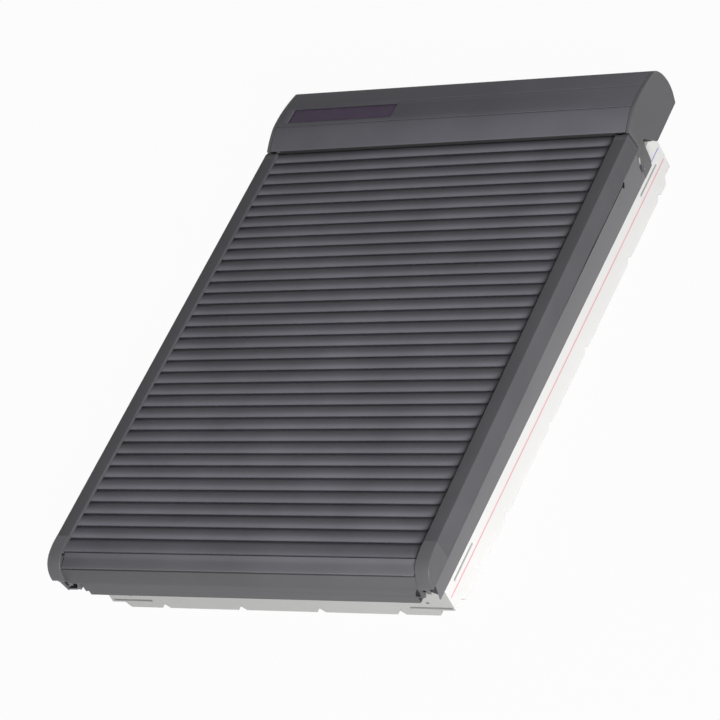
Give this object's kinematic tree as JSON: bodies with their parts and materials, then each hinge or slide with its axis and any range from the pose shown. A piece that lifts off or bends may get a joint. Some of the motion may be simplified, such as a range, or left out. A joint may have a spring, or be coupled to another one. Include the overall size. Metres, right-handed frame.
{
  "type": "roof window roller shutter",
  "caption": "Roof window with an outside roller shutter, closed: curtain of curved slats in side rails, casing with a solar panel at the head, tilting glazed sash below.",
  "frame": {"origin": "middle of the flat underside of the frame's sill", "axes": "+X to the right seen from outside, +Y up the slope along the frame, +Z out of the roof"},
  "size_m": [0.8624, 1.3061, 0.2411],
  "materials": {
    "frame_white": "smooth white polyurethane",
    "sash_white": "smooth white polyurethane",
    "clear_glass": "clear",
    "solar_cells": "dark violet cells",
    "spacer_aluminium": "satin",
    "cover_grey": "dark grey lacquer, satin",
    "bracket_grey": "dark grey lacquer, satin",
    "rail_grey": "dark grey lacquer, satin",
    "moulded_grey": "dark grey, fine grain",
    "casing_grey": "dark grey lacquer, satin",
    "slat_grey": "dark grey lacquer, satin",
    "seal_rubber": "matt",
    "plated_steel": "zinc plated",
    "black_plastic": "matt black"
  },
  "bodies": {
    "window": {"frame_left": "frame_white", "frame_right": "frame_white", "frame_sill": "frame_white", "frame_head": "frame_white", "side_cover_left": "cover_grey", "side_cover_right": "cover_grey", "sill_cover": "cover_grey", "head_cover": "cover_grey", "rail_left": "rail_grey", "rail_right": "rail_grey", "rail_end_left": "moulded_grey", "rail_end_right": "moulded_grey", "rail_foot_left": "moulded_grey", "rail_foot_right": "moulded_grey", "casing_front": "casing_grey", "casing_top": "casing_grey", "casing_base": "casing_grey", "solar_cells": "solar_cells", "solar_glass": "clear_glass", "end_plate_left": "bracket_grey", "end_plate_right": "bracket_grey", "end_cap_left": "moulded_grey", "end_cap_right": "moulded_grey", "tube_motor": "plated_steel", "idler_bearing": "black_plastic", "battery_pack": "black_plastic", "control_box": "black_plastic"},
    "sash": {"sash_bottom_rail": "sash_white", "sash_top_rail": "sash_white", "sash_left_stile": "sash_white", "sash_right_stile": "sash_white", "inner_pane": "clear_glass", "outer_pane": "clear_glass", "pane_spacer": "spacer_aluminium", "sash_cladding": "cover_grey", "pivot_pin_left": "plated_steel", "pivot_pin_right": "plated_steel", "handle_plate": "plated_steel"},
    "handle": {"handle_lever": "plated_steel"},
    "curtain": {"slats_01": "slat_grey", "slats_02": "slat_grey", "slats_03": "slat_grey", "slats_04": "slat_grey", "slats_05": "slat_grey", "slats_06": "slat_grey", "slats_07": "slat_grey", "slats_08": "slat_grey", "slats_09": "slat_grey", "slats_10": "slat_grey", "slats_11": "slat_grey", "slats_12": "slat_grey", "bottom_bar": "rail_grey", "bottom_seal": "seal_rubber", "hanger_link_left": "plated_steel", "hanger_link_right": "plated_steel"},
    "barrel": {"barrel_tube": "plated_steel", "lock_ring_left": "black_plastic", "lock_ring_right": "black_plastic", "drive_wheel": "black_plastic", "idler_plug": "black_plastic"}
  },
  "joints": [
    {"name": "curtain_slide", "type": "slide", "parent": "window", "child": "curtain", "axis": [0, 0.9997, 0.0239], "range_m": [0, 0.095]},
    {"name": "barrel_spin", "type": "hinge", "parent": "window", "child": "barrel", "pos_m": [0, 1.11271, 0.17744], "axis": [-1, 0, 0], "range_deg": [0, 235]},
    {"name": "sash_pivot", "type": "hinge", "parent": "window", "child": "sash", "pos_m": [0, 0.583, 0.076], "axis": [-1, 0, 0], "range_deg": [0, 3.5]},
    {"name": "handle_turn", "type": "hinge", "parent": "sash", "child": "handle", "pos_m": [0, 0.0655, 0.03], "axis": [0, 0, 1], "range_deg": [0, 90]}
  ],
  "couplings": [
    {"joint": "barrel_spin", "follows": "curtain_slide", "rad_per_m": 43.1}
  ]
}
